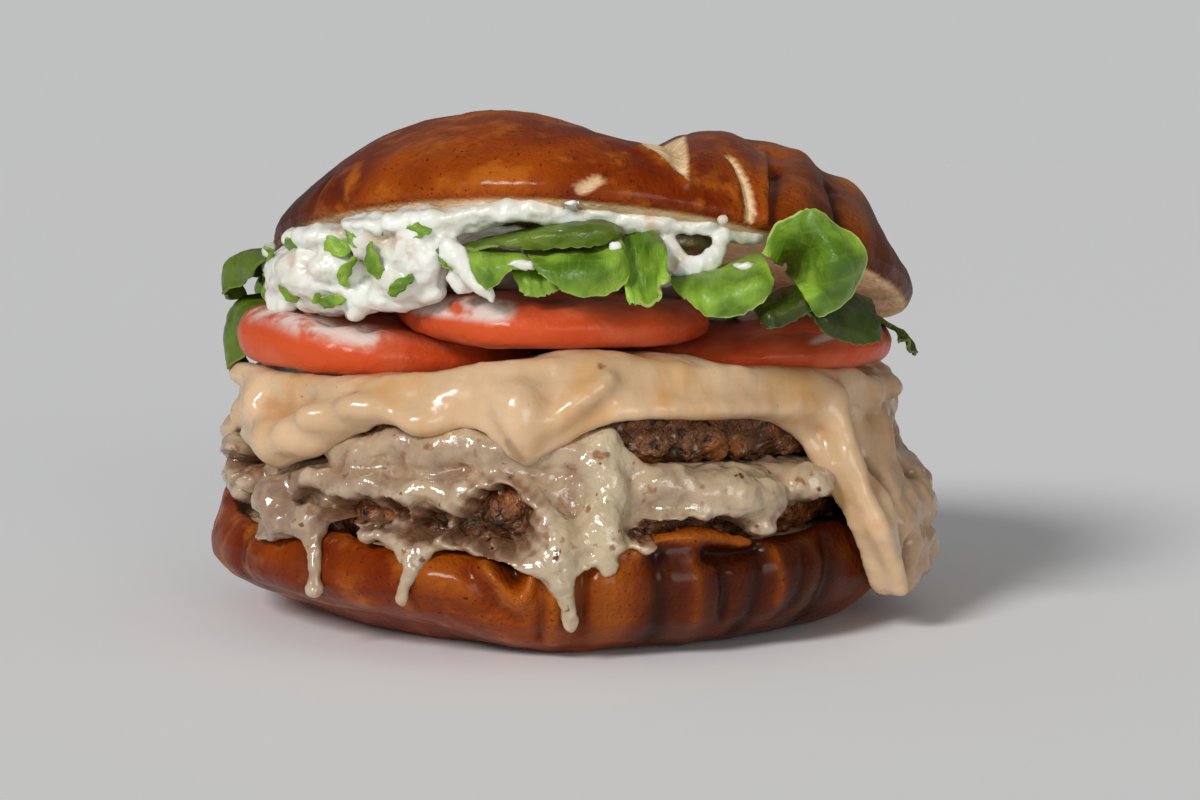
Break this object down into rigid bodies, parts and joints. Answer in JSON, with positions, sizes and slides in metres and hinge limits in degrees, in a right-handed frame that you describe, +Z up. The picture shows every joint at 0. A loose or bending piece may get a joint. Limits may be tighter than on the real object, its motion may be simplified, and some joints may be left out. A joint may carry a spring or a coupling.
{
  "type": "double hamburger",
  "caption": "Double cheeseburger in a pretzel-style bun: two patties with melted cheese, tomato slices, lettuce, pickle, white sauce and a leaning top bun.",
  "frame": {"origin": "middle of the bottom bun's flat foot, on the surface that it stands on", "axes": "+Z up; -Y is the front that the picture shows; +X is the viewer's right"},
  "size_m": [0.1213, 0.1214, 0.0826],
  "materials": {
    "crust": null,
    "meat": null,
    "pale_cheese": null,
    "clear_cheese": null,
    "tomato": null,
    "leaf": null,
    "dark_leaf": null,
    "sauce": null,
    "pickle": null
  },
  "bodies": {
    "root": {"bun_heel": "crust", "patty_lower": "meat", "cheese_lower": "clear_cheese", "patty_upper": "meat", "cheese_upper": "pale_cheese", "tomato_left": "tomato", "tomato_centre": "tomato", "tomato_right": "tomato", "tomato_back": "tomato", "lettuce_front": "leaf", "lettuce_fold": "leaf", "lettuce_curl": "leaf", "lettuce_right": "dark_leaf", "lettuce_left": "dark_leaf", "lettuce_back": "leaf", "pickle_chip": "pickle", "sauce": "sauce", "bun_crown": "crust"}
  },
  "joints": []
}
